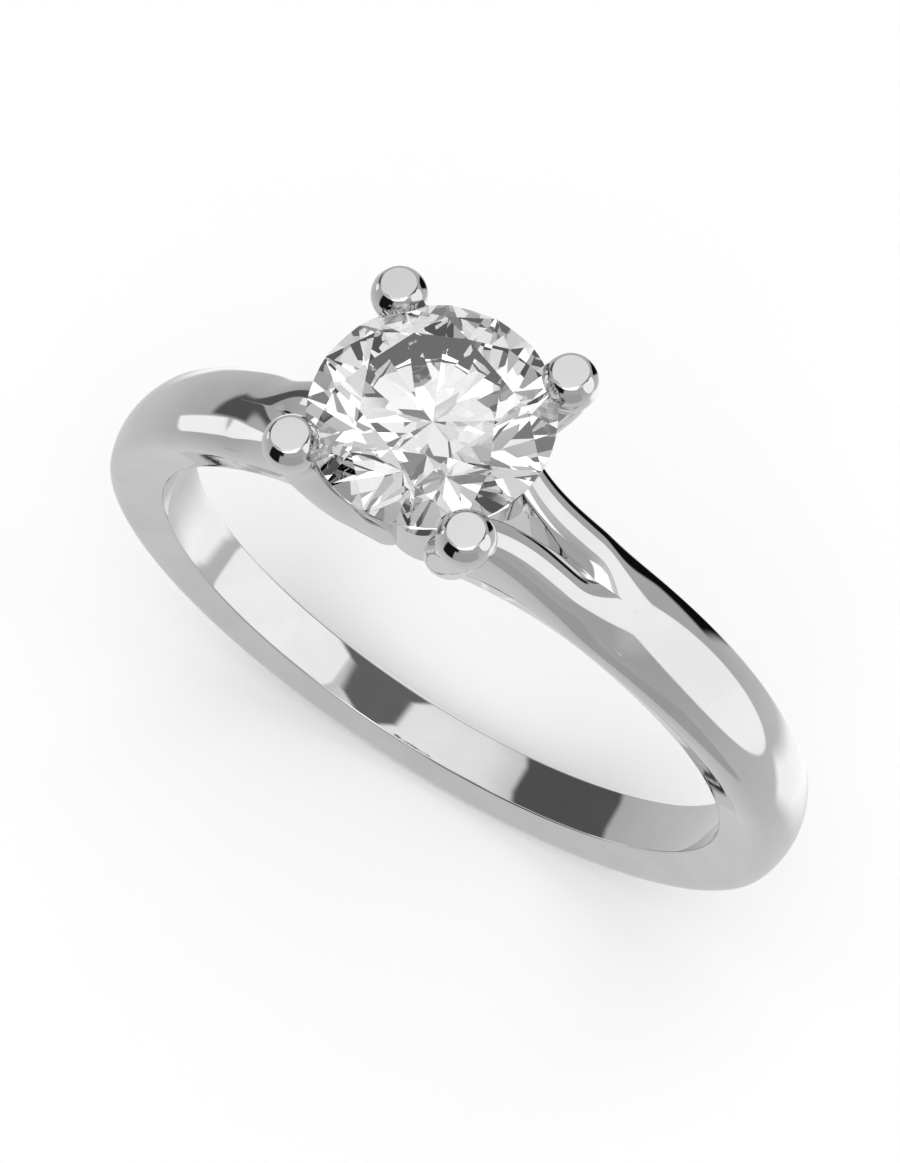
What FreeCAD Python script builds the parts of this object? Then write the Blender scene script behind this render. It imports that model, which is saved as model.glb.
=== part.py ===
import FreeCAD, Part
import math
import os
import Sketcher
from FreeCAD import Placement, Rotation, Vector

# Four-claw solitaire ring with forked shoulders.
# The finger hole runs along Y through the origin, +Z points to the stone and +X runs
# across the head. Lengths are millimetres and angles are degrees.

SIZES = {
    "bore_radius": 8.75,
    "outer_radius": 10.57,
    "band_flat_width": 1.54,
    "band_full_width": 2.40,
    "bore_edge_round": 0.06,
    "band_corner_round": 0.45,
    "band_crown_round": 2.20,
    "hoop_angle": 300,
    "arm_start_angle": 30,
    "arm_end_angle": 6.5,
    "arm_rise": 1.15,
    "arm_rise_power": 2.0,
    "arm_split_start": 0.50,
    "arm_steady_gap": 0.48,
    "arm_final_gap": 0.42,
    "arm_end_side": 1.60,
    "arm_end_foot": 1.05,
    "arm_valley_share": 0.45,
    "arm_ridge_offset": 0.58,
    "arm_ridge_spread": 0.55,
    "arm_crown_share": 0.40,
    "arm_crown_round": 0.75,
    "arm_wall_rise": 0.25,
    "collet_outer_radius": 1.20,
    "collet_hole_radius": 0.60,
    "collet_top": 10.60,
    "collet_arch_radius": 0.85,
    "collet_arch_height": 10.90,
    "claw_bead_radius": 0.60,
    "claw_flat_latitude": 50.2,
    "claw_top_across": 2.00,
    "claw_top_deep": 2.00,
    "claw_top_height": 13.44,
    "claw_top_radius": 0.53,
    "claw_neck_across": 1.90,
    "claw_neck_deep": 1.94,
    "claw_neck_height": 12.80,
    "claw_neck_radius": 0.51,
    "claw_waist_across": 1.39,
    "claw_waist_deep": 1.72,
    "claw_waist_height": 11.50,
    "claw_waist_radius": 0.50,
    "claw_hip_across": 1.13,
    "claw_hip_deep": 1.22,
    "claw_hip_height": 10.00,
    "claw_hip_radius": 0.51,
    "claw_foot_across": 0.60,
    "claw_foot_deep": 0.52,
    "claw_foot_height": 8.20,
    "claw_foot_radius": 0.56,
    "stone_radius": 2.50,
    "stone_middle": 13.40,
    "stone_girdle": 0.14,
    "stone_table_radius": 1.42,
    "stone_crown_angle": 34.5,
    "stone_pavilion_angle": 40.8,
    "stone_star_share": 0.50,
    "stone_lower_share": 0.77,
}

CORNERS = (
    ("rear_right", 1, 1),
    ("rear_left", -1, 1),
    ("front_left", -1, -1),
    ("front_right", 1, -1),
)
ARM_STATIONS = 13
REACH_PAST = 40
STONE_SIDES = 8

CLAW_LEVELS = ("top", "neck", "waist", "hip", "foot")
START = 1
END = 2
CENTRE = 3
ORIGIN = -1
UPRIGHT_AXIS = -2


def makeSheet(doc):
    sheet = doc.addObject("Spreadsheet::Sheet", "Sizes")
    for row, name in enumerate(SIZES, start=1):
        sheet.set("A%d" % row, name)
        sheet.set("B%d" % row, str(SIZES[name]))
        sheet.setAlias("B%d" % row, name)
    doc.recompute()
    return sheet


def newSketch(body, name, plane, height=None):
    sketch = body.newObject("Sketcher::SketchObject", name)
    for feature in body.Origin.OriginFeatures:
        if feature.Role == plane:
            sketch.AttachmentSupport = [(feature, "")]
    sketch.MapMode = "FlatFace"
    if height is not None:
        sketch.setExpression("AttachmentOffset.Base.z", height)
    return sketch


def bind(sketch, name, expression, *constraint):
    index = sketch.addConstraint(Sketcher.Constraint(*constraint))
    sketch.renameConstraint(index, name)
    sketch.setExpression("Constraints." + name, expression)


def flat(x, y):
    return Vector(x, y, 0)


def arcOf(centre, radius, fromAngle, toAngle):
    circle = Part.Circle(centre, Vector(0, 0, 1), radius)
    return Part.ArcOfCircle(circle, fromAngle, toAngle)


# Band section: a flat bore, rounded bore edges, side walls that lean outwards, rounded
# corners and a domed crown, given as (distance from the middle plane, radius from the bore axis).


def bandSection(sheet):
    bore = sheet.get("bore_radius")
    edge = sheet.get("bore_edge_round")
    corner = sheet.get("band_corner_round")
    crown = sheet.get("band_crown_round")
    halfFlat = sheet.get("band_flat_width") / 2
    cornerY = sheet.get("band_full_width") / 2 - corner
    crownR = sheet.get("outer_radius") - crown
    cornerR = crownR + math.sqrt((crown - corner) ** 2 - cornerY ** 2)
    across = cornerY - halfFlat
    along = cornerR - bore - edge
    spread = math.hypot(across, along)
    lean = math.asin((corner - edge) / spread) + math.atan2(across, along)
    return {
        "edge": flat(halfFlat, bore + edge),
        "corner": flat(cornerY, cornerR),
        "crown": flat(0, crownR),
        "lean": lean,
        "join": math.atan2(cornerR - crownR, cornerY),
    }


def drawBand(sketch, sheet):
    section = bandSection(sheet)
    edge = sheet.get("bore_edge_round")
    corner = sheet.get("band_corner_round")
    crown = sheet.get("band_crown_round")
    lean = section["lean"]
    join = section["join"]
    wallFoot = edge * math.cos(lean)
    wallSide = edge * math.sin(lean)
    down = Rotation(Vector(1, 0, 0), 180)
    mirror = Rotation(Vector(0, 1, 0), 180)
    edgeRight = down.multVec(section["edge"])
    edgeLeft = mirror.multVec(edgeRight)
    cornerRight = down.multVec(section["corner"])
    cornerLeft = mirror.multVec(cornerRight)
    footRight = edgeRight + flat(wallFoot, wallSide)
    footLeft = mirror.multVec(footRight)
    headRight = cornerRight + flat(corner * math.cos(lean), corner * math.sin(lean))
    headLeft = mirror.multVec(headRight)
    floor = edgeRight.y + edge
    half = math.pi / 2
    sketch.addGeometry(Part.LineSegment(flat(edgeLeft.x, floor), flat(edgeRight.x, floor)))
    sketch.addGeometry(arcOf(edgeRight, edge, lean, half))
    sketch.addGeometry(Part.LineSegment(footRight, headRight))
    sketch.addGeometry(arcOf(cornerRight, corner, -join, lean))
    sketch.addGeometry(arcOf(down.multVec(section["crown"]), crown, join - 2 * half, -join))
    sketch.addGeometry(arcOf(cornerLeft, corner, 2 * half - lean, 2 * half + join))
    sketch.addGeometry(Part.LineSegment(headLeft, footLeft))
    sketch.addGeometry(arcOf(edgeLeft, edge, half, 2 * half - lean))
    joints = (
        (0, END, 1, END), (1, START, 2, START), (2, END, 3, END), (3, START, 4, END),
        (4, START, 5, END), (5, START, 6, START), (6, END, 7, END), (7, START, 0, START),
    )
    for joint in joints:
        sketch.addConstraint(Sketcher.Constraint("Tangent", *joint))
    sketch.addConstraint(Sketcher.Constraint("Horizontal", 0))
    sketch.addConstraint(Sketcher.Constraint("Equal", 1, 7))
    sketch.addConstraint(Sketcher.Constraint("Equal", 3, 5))
    sketch.addConstraint(Sketcher.Constraint("PointOnObject", 4, CENTRE, UPRIGHT_AXIS))
    bind(sketch, "boreHeight", "Sizes.bore_radius", "DistanceY", 0, END, ORIGIN, START, -floor)
    bind(sketch, "flatHalf", "Sizes.band_flat_width / 2", "DistanceX", ORIGIN, START, 0, END, edgeRight.x)
    bind(sketch, "edgeRound", "Sizes.bore_edge_round", "Radius", 1, edge)
    bind(sketch, "cornerRound", "Sizes.band_corner_round", "Radius", 3, corner)
    bind(sketch, "crownRound", "Sizes.band_crown_round", "Radius", 4, crown)
    bind(sketch, "crownCentre", "Sizes.outer_radius - Sizes.band_crown_round",
         "DistanceY", 4, CENTRE, ORIGIN, START, section["crown"].y)
    side = "Sizes.band_full_width / 2 - Sizes.band_corner_round"
    bind(sketch, "cornerRight", side, "DistanceX", ORIGIN, START, 3, CENTRE, cornerRight.x)
    bind(sketch, "cornerLeft", side, "DistanceX", 5, CENTRE, ORIGIN, START, cornerRight.x)


def makeShank(doc, sheet):
    body = doc.addObject("PartDesign::Body", "Shank")
    body.Label = "shank"
    profile = newSketch(body, "BandSection", "YZ_Plane")
    drawBand(profile, sheet)
    doc.recompute()
    hoop = body.newObject("PartDesign::Revolution", "Hoop")
    hoop.Profile = profile
    hoop.ReferenceAxis = (profile, ["H_Axis"])
    hoop.Midplane = True
    hoop.setExpression("Angle", "Sizes.hoop_angle")
    body.Tip = hoop
    return body


# Shoulder arms: at the shank an arm is exactly half of the band section, then its ridge moves
# outwards and up, a valley and then a gap open on its inner side, and it ends inside the claw
# beside the collet.


def eased(value):
    value = min(1.0, value)
    return value ** 3 * (value * (value * 6 - 15) + 10)


def armOutline(sheet, share):
    section = bandSection(sheet)
    edge = sheet.get("bore_edge_round")
    corner = sheet.get("band_corner_round")
    bore = sheet.get("bore_radius")
    outer = sheet.get("outer_radius")
    halfWidth = sheet.get("band_full_width") / 2
    halfFlat = sheet.get("band_flat_width") / 2
    bandCrown = sheet.get("band_crown_round")

    splitStart = sheet.get("arm_split_start")
    opened = max(0.0, (share - splitStart) / (1 - splitStart))
    gap = sheet.get("arm_steady_gap") * opened + sheet.get("arm_final_gap") * opened ** 8
    side = halfWidth + (sheet.get("arm_end_side") - halfWidth) * opened ** 2.5
    foot = halfFlat + (sheet.get("arm_end_foot") - halfFlat) * share ** 2
    rise = sheet.get("arm_rise") * share ** sheet.get("arm_rise_power")
    ridge = eased(share / sheet.get("arm_valley_share")) * sheet.get("arm_ridge_offset")
    ridge += sheet.get("arm_ridge_spread") * opened ** 3
    tightened = eased(share / sheet.get("arm_crown_share"))
    crown = bandCrown + (sheet.get("arm_crown_round") - bandCrown) * tightened
    top = outer + rise

    def onCrown(slope):
        return flat(ridge + crown * math.sin(slope), top - crown + crown * math.cos(slope))

    brow = math.pi / 2 - section["join"]
    browPoint = onCrown(brow)
    bandBrow = bandCrown * math.sin(brow)
    bandHead = section["corner"] + flat(
        corner * math.cos(section["lean"]), -corner * math.sin(section["lean"])
    )
    turn = section["join"] + section["lean"]
    bandReach = 4 / 3 * math.tan(turn / 4) * corner
    bandDrop = (flat(bandBrow, outer - bandCrown + bandCrown * math.cos(brow)) - bandHead).Length

    wallHead = flat(side * bandHead.x / halfWidth, bandHead.y + sheet.get("arm_wall_rise") * rise)
    edgeCentre = flat(foot, bore + edge)
    leaning = wallHead - edgeCentre
    lean = math.atan2(leaning.x, leaning.y) - math.asin(edge / leaning.Length)
    outReach = bandReach * (side - browPoint.x) / (halfWidth - bandBrow)
    upReach = bandReach * (browPoint - wallHead).Length / bandDrop
    poles = (
        wallHead,
        wallHead + flat(math.sin(lean), math.cos(lean)) * upReach,
        browPoint + flat(math.cos(brow), -math.sin(brow)) * outReach,
        browPoint,
    )
    outside = [bezier(poles, step / 5) for step in range(5)]
    valley = math.asin((ridge - gap) / crown)
    inside = [onCrown(brow - (brow + valley) * step / 6) for step in range(7)]

    halfTurn = math.pi / 4 - lean / 2
    edgeMiddle = edgeCentre + flat(edge * math.sin(halfTurn), -edge * math.cos(halfTurn))
    edgeHead = edgeCentre + flat(edge * math.cos(lean), -edge * math.sin(lean))
    return flat(foot, bore), edgeMiddle, edgeHead, outside + inside, flat(gap, bore)


def bezier(poles, share):
    rest = 1 - share
    return (
        poles[0] * rest ** 3
        + poles[1] * (3 * rest ** 2 * share)
        + poles[2] * (3 * rest * share ** 2)
        + poles[3] * share ** 3
    )


def armWire(sheet, share, angle):
    edgeFoot, edgeMiddle, edgeHead, crest, innerFoot = armOutline(sheet, share)
    lift = math.cos(math.radians(angle))
    swing = math.sin(math.radians(angle))

    def inSpace(point):
        return Vector(point.y * swing, point.x, point.y * lift)

    curve = Part.BSplineCurve()
    curve.interpolate(Points=[inSpace(point) for point in crest])
    edges = [
        Part.makeLine(inSpace(innerFoot), inSpace(edgeFoot)),
        Part.Arc(inSpace(edgeFoot), inSpace(edgeMiddle), inSpace(edgeHead)).toShape(),
        Part.makeLine(inSpace(edgeHead), inSpace(crest[0])),
        curve.toShape(),
        Part.makeLine(inSpace(crest[-1]), inSpace(innerFoot)),
    ]
    return Part.Wire(edges)


def makeArms(doc, sheet, collet, claws):
    start = sheet.get("arm_start_angle")
    end = sheet.get("arm_end_angle")
    wires = []
    for station in range(ARM_STATIONS):
        share = station / (ARM_STATIONS - 1)
        wires.append(armWire(sheet, share, start + (end - start) * share))
    loft = Part.makeLoft(wires, True, False)
    if loft.Volume < 0:
        loft.reverse()
    origin = Vector(0, 0, 0)
    rearHalf = Part.makeBox(REACH_PAST, REACH_PAST, REACH_PAST, Vector(-REACH_PAST / 2, 0, 0))
    loft = loft.common(rearHalf)
    arms = []
    for name, hand, depth in CORNERS:
        shape = loft.copy()
        if depth < 0:
            shape = shape.mirror(origin, Vector(0, 1, 0))
        if hand < 0:
            shape = shape.mirror(origin, Vector(1, 0, 0))
        shape = shape.cut([collet.Shape, claws[name].Shape])
        arm = doc.addObject("Part::Feature", "Arm_" + name)
        arm.Label = "arm_" + name
        arm.Shape = max(shape.Solids, key=lambda solid: solid.Volume)
        arm.Placement = Placement()
        arms.append(arm)
    return arms


# Collet: a short tube under the stone, cut to the finger hole below and arched on four sides.


def circleSketch(body, name, plane, radius, across=None, up=None, signs=(1, 1), height=None):
    sketch = newSketch(body, name, plane, height)
    sketch.addGeometry(Part.Circle(flat(*signs), Vector(0, 0, 1), 1))
    bind(sketch, "radius", radius, "Radius", 0, 1)
    offsets = (("across", across, "DistanceX", UPRIGHT_AXIS), ("up", up, "DistanceY", ORIGIN))
    for sign, (label, expression, kind, axis) in zip(signs, offsets):
        ends = (ORIGIN, START, 0, CENTRE) if sign > 0 else (0, CENTRE, ORIGIN, START)
        if expression is None:
            sketch.addConstraint(Sketcher.Constraint("PointOnObject", 0, CENTRE, axis))
        else:
            bind(sketch, label, expression, kind, *ends, 1)
    return sketch


def throughPocket(body, name, sketch):
    pocket = body.newObject("PartDesign::Pocket", name)
    pocket.Profile = sketch
    pocket.Type = "ThroughAll"
    pocket.Midplane = True
    body.Tip = pocket
    return pocket


def makeCollet(doc):
    body = doc.addObject("PartDesign::Body", "Collet")
    body.Label = "collet"
    wall = circleSketch(body, "ColletOutside", "XY_Plane", "Sizes.collet_outer_radius")
    doc.recompute()
    tube = body.newObject("PartDesign::Pad", "Tube")
    tube.Profile = wall
    tube.setExpression("Length", "Sizes.collet_top")
    hole = circleSketch(body, "ColletInside", "XY_Plane", "Sizes.collet_hole_radius")
    doc.recompute()
    throughPocket(body, "ColletHole", hole)
    finger = circleSketch(body, "FingerCircle", "XZ_Plane", "Sizes.bore_radius")
    doc.recompute()
    throughPocket(body, "FingerCut", finger)
    for plane, name in (("XZ_Plane", "FrontArch"), ("YZ_Plane", "SideArch")):
        arch = circleSketch(body, name + "Circle", plane, "Sizes.collet_arch_radius",
                            up="Sizes.collet_arch_height")
        doc.recompute()
        throughPocket(body, name, arch)
    return body


# Claws: a round wire that leaves the collet, bows outwards and ends in a bead with a polished
# flat, relieved for the collet, the stone and the finger hole.


def drawReliefBox(sketch, sheet):
    side = sheet.get("collet_outer_radius")
    top = sheet.get("collet_top")
    corners = [flat(0, 0), flat(side, 0), flat(side, top), flat(0, top)]
    for index, corner in enumerate(corners):
        sketch.addGeometry(Part.LineSegment(corner, corners[(index + 1) % 4]))
    for index in range(4):
        sketch.addConstraint(Sketcher.Constraint("Coincident", index, END, (index + 1) % 4, START))
    for index in (0, 2):
        sketch.addConstraint(Sketcher.Constraint("Horizontal", index))
        sketch.addConstraint(Sketcher.Constraint("Vertical", index + 1))
    sketch.addConstraint(Sketcher.Constraint("Coincident", 0, START, ORIGIN, START))
    bind(sketch, "side", "Sizes.collet_outer_radius", "DistanceX", 0, START, 0, END, side)
    bind(sketch, "top", "Sizes.collet_top", "DistanceY", 1, START, 1, END, top)


def makeClawBody(doc, sheet, name, hand, depth):
    body = doc.addObject("PartDesign::Body", "Wire_" + name)
    rings = []
    for level in CLAW_LEVELS:
        size = "Sizes.claw_" + level
        rings.append(circleSketch(body, "Ring_%s_%s" % (level, name), "XY_Plane", size + "_radius",
                                  size + "_across", size + "_deep", (hand, depth), size + "_height"))
    doc.recompute()
    stem = body.newObject("PartDesign::AdditiveLoft", "Stem_" + name)
    stem.Profile = rings[0]
    stem.Sections = rings[1:]
    body.Tip = stem
    doc.recompute()
    bead = body.newObject("PartDesign::AdditiveSphere", "Bead_" + name)
    bead.setExpression("Radius", "Sizes.claw_bead_radius")
    bead.setExpression("Angle2", "Sizes.claw_flat_latitude")
    for feature in body.Origin.OriginFeatures:
        if feature.Role == "XY_Plane":
            bead.AttachmentSupport = [(feature, "")]
    bead.MapMode = "FlatFace"
    bead.setExpression("AttachmentOffset.Base.x", "%d * Sizes.claw_top_across" % hand)
    bead.setExpression("AttachmentOffset.Base.y", "%d * Sizes.claw_top_deep" % depth)
    bead.setExpression("AttachmentOffset.Base.z", "Sizes.claw_top_height")
    body.Tip = bead
    doc.recompute()
    box = newSketch(body, "ReliefSketch_" + name, "XZ_Plane")
    drawReliefBox(box, sheet)
    doc.recompute()
    relief = body.newObject("PartDesign::Groove", "Relief_" + name)
    relief.Profile = box
    relief.ReferenceAxis = (box, ["V_Axis"])
    relief.Angle = 360
    body.Tip = relief
    doc.recompute()
    return body


def makeClaws(doc, sheet, stone):
    finger = doc.addObject("Part::Cylinder", "FingerHole")
    finger.setExpression("Radius", "Sizes.bore_radius")
    finger.Height = REACH_PAST
    finger.Placement = Placement(Vector(0, REACH_PAST / 2, 0), Rotation(Vector(1, 0, 0), 90))
    claws = {}
    for name, hand, depth in CORNERS:
        body = makeClawBody(doc, sheet, name, hand, depth)
        seated = doc.addObject("Part::Cut", "Seated_" + name)
        seated.Base = body
        seated.Tool = stone
        claw = doc.addObject("Part::Cut", "Claw_" + name)
        claw.Base = seated
        claw.Tool = finger
        claw.Label = "claw_" + name
        claws[name] = claw
    doc.recompute()
    return claws


# Stone: a round brilliant, cut from a cylinder by the planes of its facets.


def polar(radius, turn, height):
    angle = math.radians(turn)
    return Vector(radius * math.cos(angle), radius * math.sin(angle), height)


def facetPlane(first, second, third, inside):
    normal = (second - first).cross(third - first)
    normal.normalize()
    if normal.dot(inside - first) > 0:
        normal = normal.negative()
    return first, normal


def beyondPlane(point, normal):
    size = REACH_PAST
    block = Part.makeBox(size, size, size, Vector(-size / 2, -size / 2, 0))
    block.Placement = Placement(point, Rotation(Vector(0, 0, 1), normal))
    return block


def stonePlanes(sheet):
    radius = sheet.get("stone_radius")
    table = sheet.get("stone_table_radius")
    top = sheet.get("stone_middle") + sheet.get("stone_girdle") / 2
    low = sheet.get("stone_middle") - sheet.get("stone_girdle") / 2
    crown = math.tan(math.radians(sheet.get("stone_crown_angle")))
    pavilion = math.tan(math.radians(sheet.get("stone_pavilion_angle")))
    step = 360 / STONE_SIDES
    half = step / 2
    inset = math.cos(math.radians(half))
    tableHeight = top + (radius - table) * crown
    starRadius = table * inset + sheet.get("stone_star_share") * (radius - table * inset)
    starHeight = top + (radius - starRadius * inset) * crown
    keelRadius = radius * (1 - sheet.get("stone_lower_share"))
    keelHeight = low - (radius - keelRadius * inset) * pavilion
    culetHeight = low - radius * pavilion
    inside = Vector(0, 0, sheet.get("stone_middle"))
    planes = []
    for side in range(STONE_SIDES):
        turn = side * step
        corner = polar(table, turn, tableHeight)
        nextCorner = polar(table, turn + step, tableHeight)
        star = polar(starRadius, turn + half, starHeight)
        lastStar = polar(starRadius, turn - half, starHeight)
        rim = polar(radius, turn, top)
        keel = polar(keelRadius, turn + half, keelHeight)
        lastKeel = polar(keelRadius, turn - half, keelHeight)
        lowRim = polar(radius, turn, low)
        planes.append(facetPlane(corner, star, lastStar, inside))
        planes.append(facetPlane(corner, nextCorner, star, inside))
        planes.append(facetPlane(polar(0, 0, culetHeight), keel, lastKeel, inside))
        for hand, tip, lowTip in ((1, star, keel), (-1, lastStar, lastKeel)):
            planes.append(facetPlane(rim, polar(radius, turn + hand * half, top), tip, inside))
            planes.append(facetPlane(lowRim, polar(radius, turn + hand * half, low), lowTip, inside))
    return planes, tableHeight, culetHeight


def makeStone(doc, sheet):
    planes, tableHeight, culetHeight = stonePlanes(sheet)
    shape = Part.makeCylinder(sheet.get("stone_radius"), tableHeight - culetHeight,
                              Vector(0, 0, culetHeight))
    for point, normal in planes:
        shape = shape.cut(beyondPlane(point, normal))
    stone = doc.addObject("Part::Feature", "Stone")
    stone.Label = "diamond"
    stone.Shape = shape.Solids[0]
    stone.Placement = Placement()
    return stone


def checkObjects(doc):
    for item in doc.Objects:
        if "Invalid" in item.State or "Error" in item.State:
            raise RuntimeError("bad state: " + item.Label)


def writeParts(nodes):
    os.makedirs("parts", exist_ok=True)
    for node in nodes:
        shape = node.Shape
        if shape.isNull() or not shape.isValid() or len(shape.Solids) != 1:
            raise RuntimeError("bad shape: %s has %d solids" % (node.Label, len(shape.Solids)))
        shape.exportStep("parts/%s.step" % node.Label)
        box = shape.BoundBox
        print("%-18s volume %8.3f  x %.2f..%.2f  y %.2f..%.2f  z %.2f..%.2f" % (
            node.Label, shape.Volume, box.XMin, box.XMax, box.YMin, box.YMax, box.ZMin, box.ZMax))


def build():
    doc = FreeCAD.newDocument("SolitaireRing")
    sheet = makeSheet(doc)
    shank = makeShank(doc, sheet)
    collet = makeCollet(doc)
    stone = makeStone(doc, sheet)
    claws = makeClaws(doc, sheet, stone)
    doc.recompute()
    arms = makeArms(doc, sheet, collet, claws)
    doc.recompute()
    checkObjects(doc)
    writeParts([shank, collet, stone] + list(claws.values()) + arms)


build()
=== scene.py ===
import math

import bmesh
import bpy
from mathutils import Matrix, Vector


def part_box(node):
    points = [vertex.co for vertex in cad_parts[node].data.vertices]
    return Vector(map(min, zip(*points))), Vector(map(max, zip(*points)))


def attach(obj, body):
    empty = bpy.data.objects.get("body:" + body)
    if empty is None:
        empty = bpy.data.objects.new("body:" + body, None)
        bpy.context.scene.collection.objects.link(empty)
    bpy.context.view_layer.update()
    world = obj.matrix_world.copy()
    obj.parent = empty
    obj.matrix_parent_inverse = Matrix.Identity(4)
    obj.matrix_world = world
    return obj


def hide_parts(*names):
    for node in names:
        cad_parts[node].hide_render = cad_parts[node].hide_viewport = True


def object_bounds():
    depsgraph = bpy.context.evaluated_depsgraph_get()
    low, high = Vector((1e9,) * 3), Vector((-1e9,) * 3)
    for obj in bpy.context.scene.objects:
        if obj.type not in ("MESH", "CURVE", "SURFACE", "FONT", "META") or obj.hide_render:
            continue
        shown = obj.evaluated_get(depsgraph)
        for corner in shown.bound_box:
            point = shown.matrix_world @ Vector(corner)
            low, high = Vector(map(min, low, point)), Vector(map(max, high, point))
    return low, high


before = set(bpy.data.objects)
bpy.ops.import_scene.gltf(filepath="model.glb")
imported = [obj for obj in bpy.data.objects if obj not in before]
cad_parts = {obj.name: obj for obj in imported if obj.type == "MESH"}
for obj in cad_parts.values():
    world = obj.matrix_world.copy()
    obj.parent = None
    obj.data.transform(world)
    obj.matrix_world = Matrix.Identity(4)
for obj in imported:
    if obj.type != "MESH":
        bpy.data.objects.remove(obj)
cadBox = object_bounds()
print("frame loaded:", len(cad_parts), "nodes")

mm = 0.001  # shapes below are worked out in millimetres


class Wire:  # one socket of a node tree, so that shader sums read as plain maths
    def __init__(self, tree, socket=None):
        self.tree = tree
        self.socket = socket

    def node(self, kind, settings=None, sockets=None, out=0):
        made = self.tree.nodes.new(kind)
        for name, value in (settings or {}).items():
            if name == "stops":
                fillRamp(made.color_ramp, value)
            else:
                setattr(made, name, value)
        for key, value in (sockets or {}).items():
            if isinstance(value, Wire):
                self.tree.links.new(value.socket, made.inputs[key])
            else:
                made.inputs[key].default_value = value
        return Wire(self.tree, made.outputs[out] if made.outputs else None)

    def maths(self, operation, *values):
        return self.node("ShaderNodeMath", {"operation": operation}, dict(enumerate(values)))

    def __add__(self, other):
        return self.maths("ADD", self, other)

    def __radd__(self, other):
        return self.maths("ADD", other, self)

    def __sub__(self, other):
        return self.maths("SUBTRACT", self, other)

    def __rsub__(self, other):
        return self.maths("SUBTRACT", other, self)

    def __mul__(self, other):
        return self.maths("MULTIPLY", self, other)

    def __rmul__(self, other):
        return self.maths("MULTIPLY", other, self)

    def __truediv__(self, other):
        return self.maths("DIVIDE", self, other)

    def __pow__(self, other):
        return self.maths("POWER", self, other)

    def __abs__(self):
        return self.maths("ABSOLUTE", self)

    def smooth(self, low, high):  # 0 below low, 1 above high, eased in between
        settings = {"interpolation_type": "SMOOTHSTEP"}
        return self.node("ShaderNodeMapRange", settings, {"Value": self, "From Min": low, "From Max": high})

    def along(self, direction):
        settings = {"operation": "DOT_PRODUCT"}
        return self.node("ShaderNodeVectorMath", settings, {0: self, 1: direction}, "Value")

    def stretched(self, scale):
        return self.node("ShaderNodeVectorMath", {"operation": "MULTIPLY"}, {0: self, 1: scale})

    def mixed(self, first, second):  # self is the share of second
        settings = {"data_type": "RGBA"}
        return self.node("ShaderNodeMix", settings, {0: self, 6: first, 7: second}, 2)


def fillRamp(ramp, stops):
    for index, (place, tone) in enumerate(stops):
        element = ramp.elements[index] if index < 2 else ramp.elements.new(place)
        element.position = place
        element.color = (tone, tone, tone, 1)


def newMaterial(name):
    material = bpy.data.materials.new(name)
    material.use_nodes = True
    material.node_tree.nodes.clear()
    return material, Wire(material.node_tree)


# camera, measured from the middle of the finger hole
cameraSetup = {
    "azimuth": 33.794,
    "elevation": 67.246,
    "roll": -2.65,
    "distance": 44.367,
    "sideways": 0.117,
    "upward": 1.862,
    "lens": 50,
    "sensor": 36,
    "nearest": 0.001,  # metres
    "farthest": 10,
}


def placeCamera(setup):
    azimuth = math.radians(setup["azimuth"])
    elevation = math.radians(setup["elevation"])
    roll = math.radians(setup["roll"])
    back = Vector((
        math.sin(azimuth) * math.cos(elevation),
        -math.cos(azimuth) * math.cos(elevation),
        math.sin(elevation),
    ))
    levelRight = Vector((0, 0, 1)).cross(back).normalized()
    levelUp = back.cross(levelRight)
    right = levelRight * math.cos(roll) + levelUp * math.sin(roll)
    up = levelUp * math.cos(roll) - levelRight * math.sin(roll)
    place = back * setup["distance"] + right * setup["sideways"] + up * setup["upward"]
    data = bpy.data.cameras.new("Camera")
    data.lens = setup["lens"]
    data.sensor_width = setup["sensor"]
    data.clip_start = setup["nearest"]
    data.clip_end = setup["farthest"]
    camera = bpy.data.objects.new("Camera", data)
    turn = Matrix((right, up, back)).transposed()
    camera.matrix_world = Matrix.Translation(place * mm) @ turn.to_4x4()
    bpy.context.scene.collection.objects.link(camera)
    bpy.context.scene.camera = camera


placeCamera(cameraSetup)
print("camera placed")


# polished metal: fine buffing marks, faint cloudiness and a few hairline scratches
polishSetup = {
    "tone": 0.75,
    "toneSpread": 0.02,
    "gloss": 0.03,
    "glossSpread": 0.03,
    "hairlines": 0.02,
}


def polishedMetal(name, setup):
    material, tree = newMaterial(name)
    place = tree.node("ShaderNodeTexCoord", {}, {}, "Object").stretched((1000, 1000, 1000))
    cloud = tree.node("ShaderNodeTexNoise", {}, {"Vector": place, "Scale": 0.55, "Detail": 3.0})
    buff = tree.node("ShaderNodeTexNoise", {}, {
        "Vector": place.stretched((1.0, 9.0, 1.0)), "Scale": 3.0, "Detail": 4.0, "Roughness": 0.6})
    scuff = tree.node("ShaderNodeTexNoise", {}, {
        "Vector": place.stretched((1.0, 0.12, 1.0)), "Scale": 7.0, "Detail": 2.0, "Distortion": 0.6})
    hairline = 1 - abs(scuff - 0.5).smooth(0.0, 0.012)
    tone = setup["tone"]
    low, high = tone - setup["toneSpread"], tone + setup["toneSpread"]
    colour = cloud.smooth(0.35, 0.65).mixed((low, low, low, 1), (high, high, high, 1))
    roughness = buff.smooth(0.35, 0.75) * setup["glossSpread"] + hairline * 0.03 + setup["gloss"]
    height = buff * 0.25 + hairline * -setup["hairlines"]
    bump = tree.node("ShaderNodeBump", {}, {"Strength": 0.02, "Distance": 0.00002, "Height": height})
    shader = tree.node("ShaderNodeBsdfPrincipled", {}, {
        "Base Color": colour, "Metallic": 1.0, "Roughness": roughness, "Normal": bump})
    tree.node("ShaderNodeOutputMaterial", {}, {"Surface": shader})
    return material


whiteGold = polishedMetal("polished_white_gold", polishSetup)


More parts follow.
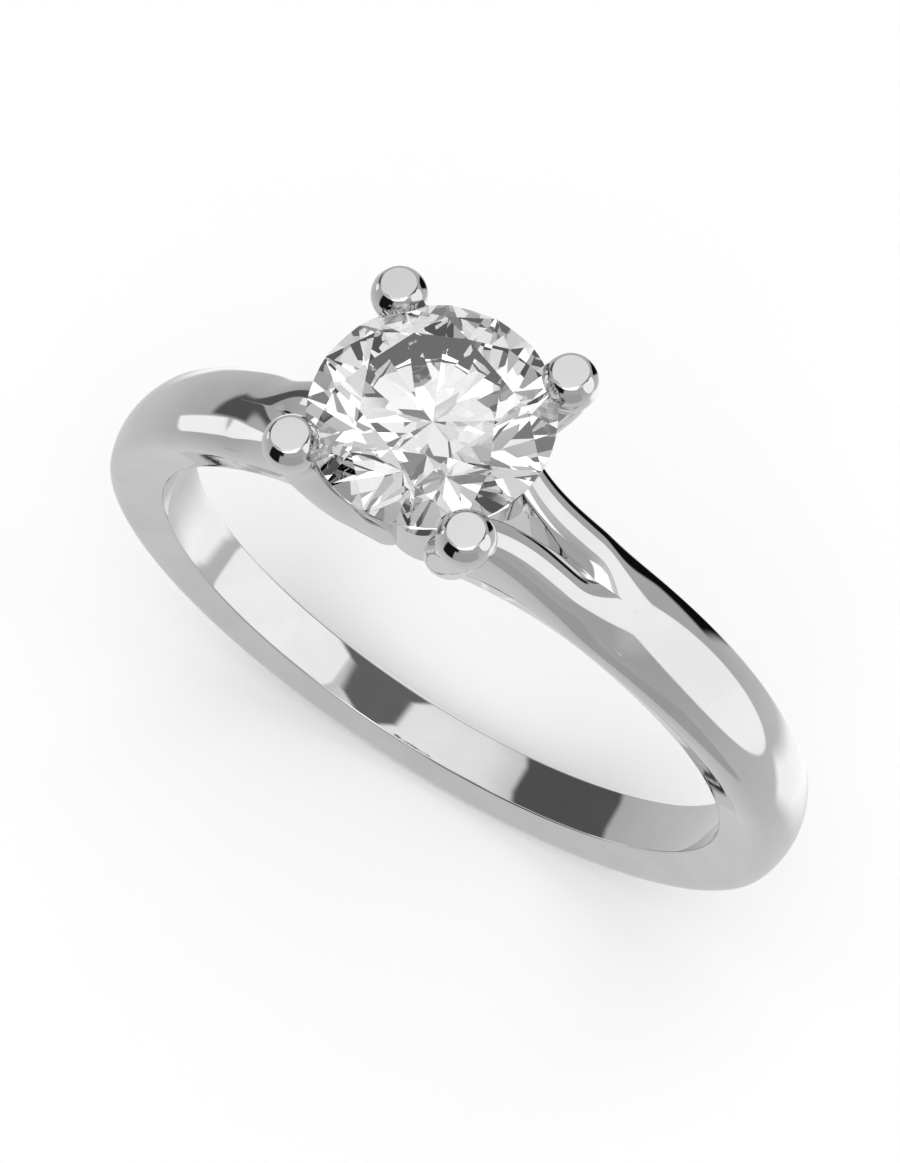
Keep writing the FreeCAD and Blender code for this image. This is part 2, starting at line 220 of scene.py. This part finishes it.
def addPiece(name, mesh, node, material):
    piece = bpy.data.objects.new(name, mesh)
    bpy.context.scene.collection.objects.link(piece)
    mesh.materials.append(material)
    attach(piece, "root")
    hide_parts(node)


def skin(name, rings, sharpAngle=40):
    # skins a run of cross-sections and closes both ends
    work = bmesh.new()
    rows = [[work.verts.new(point * mm) for point in ring] for ring in rings]
    count = len(rows[0])
    for first, second in zip(rows, rows[1:]):
        for index in range(count):
            after = (index + 1) % count
            work.faces.new((first[index], first[after], second[after], second[index]))
    work.faces.new(list(reversed(rows[0])))
    work.faces.new(rows[-1])
    bmesh.ops.recalc_face_normals(work, faces=work.faces)
    for face in work.faces:
        face.smooth = True
    mesh = bpy.data.meshes.new(name)
    work.to_mesh(mesh)
    work.free()
    mesh.set_sharp_from_angle(angle=math.radians(sharpAngle))
    return mesh


# band and shoulders share one section, which opens into two arms towards the head
bandSizes = {
    "bore": 8.75,
    "outer": 10.57,
    "halfFlat": 0.77,
    "halfWidth": 1.20,
    "boreEdge": 0.06,
    "corner": 0.45,
    "crown": 2.20,
    "shoulderAngle": 30,  # from the top, where the shank ends
    "headAngle": 6.5,
    "rise": 1.15,
    "valleyShare": 0.45,
    "tightShare": 0.40,
    "splitShare": 0.50,
    "steadyGap": 0.48,
    "finalGap": 0.42,
    "endSide": 1.60,
    "endFoot": 1.05,
    "ridgeOffset": 0.58,
    "ridgeSpread": 0.55,
    "armCrown": 0.75,
    "wallRise": 0.25,
    "gapEdge": 0.05,
    "leastEdge": 0.004,
    "overlap": 0.012,
    "overlapEnd": 0.04,  # share of the opened length over which the overlap fades
    "shankSteps": 420,
    "armSteps": 120,
}


def flat(across, height):
    return Vector((across, height))


def eased(value):
    value = min(1.0, max(0.0, value))
    return value ** 3 * (value * (value * 6 - 15) + 10)


def sweep(centre, radius, start, end, count):
    # angles run from the outward side towards the top
    steps = [start + (end - start) * step / count for step in range(count + 1)]
    return [centre + flat(math.cos(angle), math.sin(angle)) * radius for angle in steps]


def bezier(poles, share):
    rest = 1 - share
    weights = (rest ** 3, 3 * rest ** 2 * share, 3 * rest * share ** 2, share ** 3)
    return sum((pole * weight for pole, weight in zip(poles, weights)), flat(0, 0))


def halfSection(size, share):
    # foot of the outer wall up over the crest to the foot of the inner wall
    opened = max(0.0, (share - size["splitShare"]) / (1 - size["splitShare"]))
    gap = size["steadyGap"] * opened + size["finalGap"] * opened ** 8
    # unsplit arms run into each other a hair, so that no slit shows
    inset = gap - size["overlap"] * max(0.0, 1 - opened / size["overlapEnd"])
    side = size["halfWidth"] + (size["endSide"] - size["halfWidth"]) * opened ** 2.5
    foot = size["halfFlat"] + (size["endFoot"] - size["halfFlat"]) * share ** 2
    rise = size["rise"] * share ** 2
    parted = eased(share / size["valleyShare"])
    ridge = parted * size["ridgeOffset"] + size["ridgeSpread"] * opened ** 3
    crown = size["crown"] + (size["armCrown"] - size["crown"]) * eased(share / size["tightShare"])
    top = size["outer"] + rise

    cornerAcross = size["halfWidth"] - size["corner"]
    join = math.acos(cornerAcross / (size["crown"] - size["corner"]))
    cornerHeight = size["outer"] - size["crown"] + (size["crown"] - size["corner"]) * math.sin(join)
    toCorner = flat(cornerAcross - size["halfFlat"], cornerHeight - size["bore"] - size["boreEdge"])
    bandLean = math.asin((size["corner"] - size["boreEdge"]) / toCorner.length)
    bandLean += math.atan2(toCorner.x, toCorner.y)
    bandHead = flat(cornerAcross, cornerHeight)
    bandHead += flat(math.cos(bandLean), -math.sin(bandLean)) * size["corner"]

    def onCrown(slope):
        return flat(ridge + crown * math.sin(slope), top - crown + crown * math.cos(slope))

    brow = math.pi / 2 - join
    browPoint = onCrown(brow)
    bandBrow = flat(size["crown"] * math.sin(brow), size["outer"] - size["crown"] * (1 - math.cos(brow)))
    bandReach = 4 / 3 * math.tan((join + bandLean) / 4) * size["corner"]
    wallHead = flat(side * bandHead.x / size["halfWidth"], bandHead.y + size["wallRise"] * rise)
    edgeCentre = flat(foot, size["bore"] + size["boreEdge"])
    leaning = wallHead - edgeCentre
    lean = math.atan2(leaning.x, leaning.y) - math.asin(size["boreEdge"] / leaning.length)
    outReach = bandReach * (side - browPoint.x) / (size["halfWidth"] - bandBrow.x)
    upReach = bandReach * (browPoint - wallHead).length / (bandBrow - bandHead).length
    poles = (
        wallHead,
        wallHead + flat(math.sin(lean), math.cos(lean)) * upReach,
        browPoint + flat(math.cos(brow), -math.sin(brow)) * outReach,
        browPoint,
    )
    edgeRound = sweep(edgeCentre, size["boreEdge"], -math.pi / 2, -lean, 6)
    wall = [edgeRound[-1].lerp(wallHead, step / 6) for step in range(1, 6)]
    cornerRun = [bezier(poles, step / 14) for step in range(14)]
    valley = math.asin((ridge - inset) / crown)
    soften = max(size["leastEdge"], min(size["gapEdge"], 0.3 * gap))
    lastSlope = -valley + soften / crown
    crest = [onCrown(brow + (lastSlope - brow) * step / 22) for step in range(23)]
    edgeTop = onCrown(-valley)
    below = edgeTop - flat(0, soften)
    inner = [bezier((crest[-1], crest[-1].lerp(edgeTop, 0.6), below.lerp(edgeTop, 0.6), below), step / 4)
             for step in range(1, 5)]
    innerFoot = flat(inset, size["bore"])
    innerWall = [below.lerp(innerFoot, step / 4) for step in range(1, 5)]
    return edgeRound + wall + cornerRun + crest, inner + innerWall


def inSpace(point, angle, hand=1, depth=1):
    return Vector((point.y * math.sin(angle) * hand, point.x * depth, point.y * math.cos(angle)))


def makeShank(size):
    outside, _ = halfSection(size, 0)
    floor = [flat(size["halfFlat"] * share, size["bore"]) for share in (-0.6, -0.2, 0.2, 0.6)]
    mirrored = [flat(-point.x, point.y) for point in reversed(outside[:-1])]
    loop = floor + outside + mirrored
    start = math.radians(size["shoulderAngle"])
    span = 2 * math.pi - 2 * start
    steps = size["shankSteps"]
    rings = [[inSpace(point, start + span * step / steps) for point in loop] for step in range(steps + 1)]
    addPiece("Shank", skin("Shank", rings), "shank", whiteGold)


def makeArm(name, size, hand, depth):
    start = math.radians(size["shoulderAngle"])
    end = math.radians(size["headAngle"])
    steps = size["armSteps"]
    rings = []
    for step in range(steps + 1):
        share = step / steps
        outside, inside = halfSection(size, share)
        loop = outside + inside
        angle = start + (end - start) * share
        rings.append([inSpace(point, angle, hand, depth) for point in loop])
    addPiece("Arm_" + name, skin("Arm_" + name, rings), "arm_" + name, whiteGold)


corners = {
    "rear_right": (1, 1),
    "rear_left": (-1, 1),
    "front_left": (-1, -1),
    "front_right": (1, -1),
}

makeShank(bandSizes)
for name, (hand, depth) in corners.items():
    makeArm(name, bandSizes, hand, depth)
print("shank and shoulder arms made")


# claws: a leaning stem with a round bead, flattened on top where the file has finished it
clawSizes = {
    "levels": (  # across, deep, height, radius
        (2.00, 2.00, 13.44, 0.53),
        (1.90, 1.94, 12.80, 0.51),
        (1.39, 1.72, 11.50, 0.50),
        (1.13, 1.22, 10.00, 0.51),
        (0.60, 0.52, 8.20, 0.56),
    ),
    "bead": 0.60,
    "flatLatitude": 50.2,
    "flatEdge": 0.025,
    "beadEnd": 0.52,  # radius at which the bead runs into the stem
    "stemStart": 0.50,  # share of the first stretch that lies inside the bead
    "sides": 64,
    "beadSteps": 30,
    "stemSteps": 90,
    "seatClearance": 0.006,
    "cutterLength": 8,
    "cutterSides": 720,
    "sharpAngle": 30,
}


def splineThrough(stops, values, place):
    # natural cubic through the given stops
    count = len(stops)
    bends = [0.0] * count
    lower, upper = [0.0] * count, [0.0] * count
    for index in range(1, count - 1):
        before = stops[index] - stops[index - 1]
        after = stops[index + 1] - stops[index]
        slopeChange = (values[index + 1] - values[index]) / after
        slopeChange -= (values[index] - values[index - 1]) / before
        pivot = 2 * (before + after) - before * lower[index - 1]
        lower[index] = after / pivot
        upper[index] = (6 * slopeChange - before * upper[index - 1]) / pivot
    for index in range(count - 2, 0, -1):
        bends[index] = upper[index] - lower[index] * bends[index + 1]
    index = max(i for i in range(count - 1) if stops[i] <= place or i == 0)
    width = stops[index + 1] - stops[index]
    left = (stops[index + 1] - place) / width
    right = 1 - left
    curve = (left ** 3 - left) * bends[index] + (right ** 3 - right) * bends[index + 1]
    return left * values[index] + right * values[index + 1] + curve * width * width / 6


def clawMesh(size):
    levels = size["levels"]
    stops = [0.0]
    for first, second in zip(levels, levels[1:]):
        stops.append(stops[-1] + (Vector(second[:3]) - Vector(first[:3])).length)

    def ring(across, deep, height, radius):
        turns = [2 * math.pi * side / size["sides"] for side in range(size["sides"])]
        centre = Vector((across, deep, height))
        return [centre + Vector((math.cos(turn), math.sin(turn), 0)) * radius for turn in turns]

    beadAcross, beadDeep, beadHeight, _ = levels[0]
    bead = size["bead"]
    latitude = math.radians(size["flatLatitude"])
    flatTop = beadHeight + bead * math.sin(latitude)
    rim = bead * math.cos(latitude)
    edge = size["flatEdge"]
    rings = [
        ring(beadAcross, beadDeep, flatTop, rim * 0.5),
        ring(beadAcross, beadDeep, flatTop, rim - 1.6 * edge),
        ring(beadAcross, beadDeep, flatTop, rim - edge),
        ring(beadAcross, beadDeep, flatTop - 0.08 * edge, rim - 0.45 * edge),
        ring(beadAcross, beadDeep, flatTop - 0.35 * edge, rim + 0.02 * edge),
    ]
    first = latitude - 1.3 * edge / bead
    last = -math.acos(size["beadEnd"] / bead)
    for step in range(size["beadSteps"] + 1):
        angle = first + (last - first) * step / size["beadSteps"]
        rings.append(ring(beadAcross, beadDeep, beadHeight + bead * math.sin(angle), bead * math.cos(angle)))
    start = stops[1] * size["stemStart"]
    for step in range(size["stemSteps"] + 1):
        place = start + (stops[-1] - start) * step / size["stemSteps"]
        rings.append(ring(*(splineThrough(stops, run, place) for run in zip(*levels))))
    return skin("ClawBlank", rings, size["sharpAngle"])


def cutAway(piece, cutter):
    modifier = piece.modifiers.new("Cut", "BOOLEAN")
    modifier.operation = "DIFFERENCE"
    modifier.solver = "EXACT"
    modifier.object = cutter
    bpy.context.view_layer.update()
    shaped = bpy.data.meshes.new_from_object(piece.evaluated_get(bpy.context.evaluated_depsgraph_get()))
    piece.modifiers.clear()
    piece.data = shaped


def seatCutter(clearance):
    # the stone, grown a hair, so that each claw has its notch and never touches the stone
    cutter = bpy.data.objects.new("SeatCutter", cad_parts["diamond"].data.copy())
    low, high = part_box("diamond")
    middle = (low + high) / 2
    reach = (high - low) / 2
    growth = Vector([(side + clearance * mm) / side for side in reach])
    grow = Matrix.Translation(middle) @ Matrix.Diagonal(growth).to_4x4() @ Matrix.Translation(-middle)
    cutter.data.transform(grow)
    work = bmesh.new()
    work.from_mesh(cutter.data)
    bmesh.ops.remove_doubles(work, verts=work.verts, dist=1e-7)
    work.to_mesh(cutter.data)
    work.free()
    bpy.context.scene.collection.objects.link(cutter)
    return cutter


def fingerCutter(radius, size):
    work = bmesh.new()
    turn = Matrix.Rotation(math.pi / 2, 4, "X")
    bmesh.ops.create_cone(work, cap_ends=True, segments=size["cutterSides"], radius1=radius * mm,
                          radius2=radius * mm, depth=size["cutterLength"] * mm, matrix=turn)
    mesh = bpy.data.meshes.new("FingerCutter")
    work.to_mesh(mesh)
    work.free()
    cutter = bpy.data.objects.new("FingerCutter", mesh)
    bpy.context.scene.collection.objects.link(cutter)
    return cutter


def makeClaws(size):
    blank = bpy.data.objects.new("ClawBlank", clawMesh(size))
    bpy.context.scene.collection.objects.link(blank)
    cutters = [seatCutter(size["seatClearance"]), fingerCutter(bandSizes["bore"], size)]
    for cutter in cutters:
        cutAway(blank, cutter)
    for name, (hand, depth) in corners.items():
        mesh = blank.data.copy()
        mesh.name = "Claw_" + name
        mesh.transform(Matrix.Diagonal((hand, depth, 1, 1)))
        if hand * depth < 0:
            mesh.flip_normals()
        mesh.set_sharp_from_angle(angle=math.radians(size["sharpAngle"]))
        addPiece("Claw_" + name, mesh, "claw_" + name, whiteGold)
    for leftover in [blank, *cutters]:
        bpy.data.objects.remove(leftover)


makeClaws(clawSizes)
print("claws made")


def finishNode(name, material):
    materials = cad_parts[name].data.materials
    materials.clear()
    materials.append(material)


finishNode("collet", whiteGold)
print("collet polished")


diamondSetup = {
    "roughness": 0.0,
    "bending": 2.417,
}


def clearDiamond(setup):
    material, tree = newMaterial("clear_diamond")
    shader = tree.node("ShaderNodeBsdfPrincipled", {}, {
        "Base Color": (1, 1, 1, 1),
        "Roughness": setup["roughness"],
        "IOR": setup["bending"],
        "Transmission Weight": 1.0,
    })
    tree.node("ShaderNodeOutputMaterial", {}, {"Surface": shader})
    return material


finishNode("diamond", clearDiamond(diamondSetup))
print("stone finished")


# studio: a pale floor, one big soft light for it, and soft panels round the ring for the metal to mirror
studioSetup = {
    "floorTone": 0.9,  # lengths here are metres
    "floorReach": 2.0,
    "floorLight": 1.6,
    "lightSize": 0.6,
    "lightPlace": (0.05, -0.05, 0.5),
    "backdropTone": 0.84,
    "backdropReach": 0.7,
    "backdropTop": 0.9,
    "backdropSides": 48,
    "heights": ((-90, 0.66), (-60, 0.68), (-25, 0.60), (0, 0.50), (30, 0.45), (60, 0.9), (90, 1.1)),
    "panels": (
        {"azimuth": 108.5, "elevation": 13, "width": 50, "height": 66, "soft": 2, "level": 1.1, "round": 1},
        {"azimuth": -20, "elevation": 5, "width": 50, "height": 60, "soft": 8, "level": 0.01},
        {"azimuth": 28, "elevation": 46, "width": 52, "height": 24, "soft": 4, "level": 1.4},
        {"azimuth": 30, "elevation": -8, "width": 75, "height": 40, "soft": 6, "level": 0.42},
        {"azimuth": -106, "elevation": 25, "width": 26, "height": 44, "soft": 4, "level": 0.10},
        {"azimuth": -84, "elevation": 0, "width": 16, "height": 20, "soft": 2, "level": 1.15},
        {"azimuth": 135, "elevation": 54, "width": 30, "height": 36, "soft": 3, "level": 0.15},
        {"azimuth": 161, "elevation": -14, "width": 23, "height": 42, "roll": 34, "soft": 5, "level": 0.005},
        {"azimuth": -60, "elevation": 62, "width": 18, "height": 14, "soft": 3, "level": 0.06},
        {"azimuth": 60, "elevation": 62, "width": 20, "height": 20, "soft": 3, "level": 1.9},
        {"azimuth": 168, "elevation": -54, "width": 100, "height": 24, "soft": 14, "level": 1.15},
    ),
}


def makeFloor(setup):
    mesh = bpy.data.meshes.new("Floor")
    level = cadBox[0].z
    reach = setup["floorReach"]
    outline = [(x * reach, y * reach, level) for x, y in ((-1, -1), (1, -1), (1, 1), (-1, 1))]
    mesh.from_pydata(outline, [], [(0, 1, 2, 3)])
    floor = bpy.data.objects.new("Floor", mesh)
    bpy.context.scene.collection.objects.link(floor)
    material, tree = newMaterial("pale_floor")
    tone = setup["floorTone"]
    shader = tree.node("ShaderNodeBsdfDiffuse", {}, {"Color": (tone, tone, tone, 1)})
    tree.node("ShaderNodeOutputMaterial", {}, {"Surface": shader})
    mesh.materials.append(material)
    floor.visible_glossy = False
    floor.visible_transmission = False


def makeFloorLight(setup):  # lights the floor, and nothing mirrors it
    light = bpy.data.lights.new("FloorLight", "AREA")
    light.size = setup["lightSize"]
    light.energy = setup["floorLight"]
    lamp = bpy.data.objects.new("FloorLight", light)
    lamp.location = setup["lightPlace"]
    lamp.rotation_euler = (lamp.location * -1).to_track_quat("-Z", "Y").to_euler()
    lamp.visible_camera = False
    lamp.visible_glossy = False
    lamp.visible_transmission = False
    bpy.context.scene.collection.objects.link(lamp)


def makeBackdrop(setup):  # a plain pale wall for low views, which only the camera sees
    mesh = bpy.data.meshes.new("Backdrop")
    reach, top, sides = setup["backdropReach"], setup["backdropTop"], setup["backdropSides"]
    points = []
    for side in range(sides):
        turn = 2 * math.pi * side / sides
        points += [(reach * math.cos(turn), reach * math.sin(turn), height) for height in (cadBox[0].z, top)]
    faces = [(2 * side, 2 * ((side + 1) % sides), 2 * ((side + 1) % sides) + 1, 2 * side + 1)
             for side in range(sides)]
    mesh.from_pydata(points, [], faces)
    backdrop = bpy.data.objects.new("Backdrop", mesh)
    bpy.context.scene.collection.objects.link(backdrop)
    material, tree = newMaterial("pale_backdrop")
    glow = tree.node("ShaderNodeEmission", {}, {"Color": (1, 1, 1, 1), "Strength": setup["backdropTone"]})
    tree.node("ShaderNodeOutputMaterial", {}, {"Surface": glow})
    mesh.materials.append(material)
    backdrop.visible_diffuse = False
    backdrop.visible_glossy = False
    backdrop.visible_transmission = False
    backdrop.visible_shadow = False


def directionTo(azimuth, elevation):
    turn, lift = math.radians(azimuth), math.radians(elevation)
    return Vector((math.sin(turn) * math.cos(lift), -math.cos(turn) * math.cos(lift), math.sin(lift)))


def panelMask(look, panel):
    middle = directionTo(panel["azimuth"], panel["elevation"])
    right = directionTo(panel["azimuth"] + 90, 0)
    up = directionTo(panel["azimuth"], panel["elevation"] + 90)
    roll = math.radians(panel.get("roll", 0))
    right, up = right * math.cos(roll) + up * math.sin(roll), up * math.cos(roll) - right * math.sin(roll)
    ahead = look.along(middle)
    least = 0.02  # keeps the divisions below finite
    facing = ahead.smooth(least, 0.05)
    ahead = ahead.maths("MAXIMUM", ahead, least)
    halfWide = math.tan(math.radians(panel["width"] / 2))
    halfHigh = math.tan(math.radians(panel["height"] / 2))
    soft = math.tan(math.radians(panel["soft"]))
    across = look.along(right) / ahead / halfWide
    upward = look.along(up) / ahead / halfHigh
    if panel.get("round"):
        reach = (across * across + upward * upward) ** 0.5
        share = soft / min(halfWide, halfHigh) / 2
        return (1 - reach.smooth(1 - share, 1 + share)) * facing
    sideShare, topShare = soft / halfWide / 2, soft / halfHigh / 2
    inWidth = 1 - abs(across).smooth(1 - sideShare, 1 + sideShare)
    inHeight = 1 - abs(upward).smooth(1 - topShare, 1 + topShare)
    return inWidth * inHeight * facing


def makeStudio(setup):
    world = bpy.data.worlds.new("Studio")
    bpy.context.scene.world = world
    world.use_nodes = True
    world.node_tree.nodes.clear()
    tree = Wire(world.node_tree)
    look = tree.node("ShaderNodeTexCoord", {}, {}, "Generated")
    height = tree.node("ShaderNodeSeparateXYZ", {}, {0: look}, "Z")
    lift = height.maths("ARCSINE", height) / math.pi + 0.5
    stops = [((angle + 90) / 180, level) for angle, level in setup["heights"]]
    bright = tree.node("ShaderNodeValToRGB", {"stops": stops}, {0: lift})
    for panel in setup["panels"]:
        mask = panelMask(look, panel)
        bright = bright * (1 - mask) + mask * panel["level"]
    sky = tree.node("ShaderNodeBackground", {}, {"Color": (1, 1, 1, 1), "Strength": bright})
    tree.node("ShaderNodeOutputWorld", {}, {"Surface": sky})


makeFloor(studioSetup)
makeFloorLight(studioSetup)
makeBackdrop(studioSetup)
makeStudio(studioSetup)
bpy.context.scene.view_settings.view_transform = "Standard"
print("studio lit")
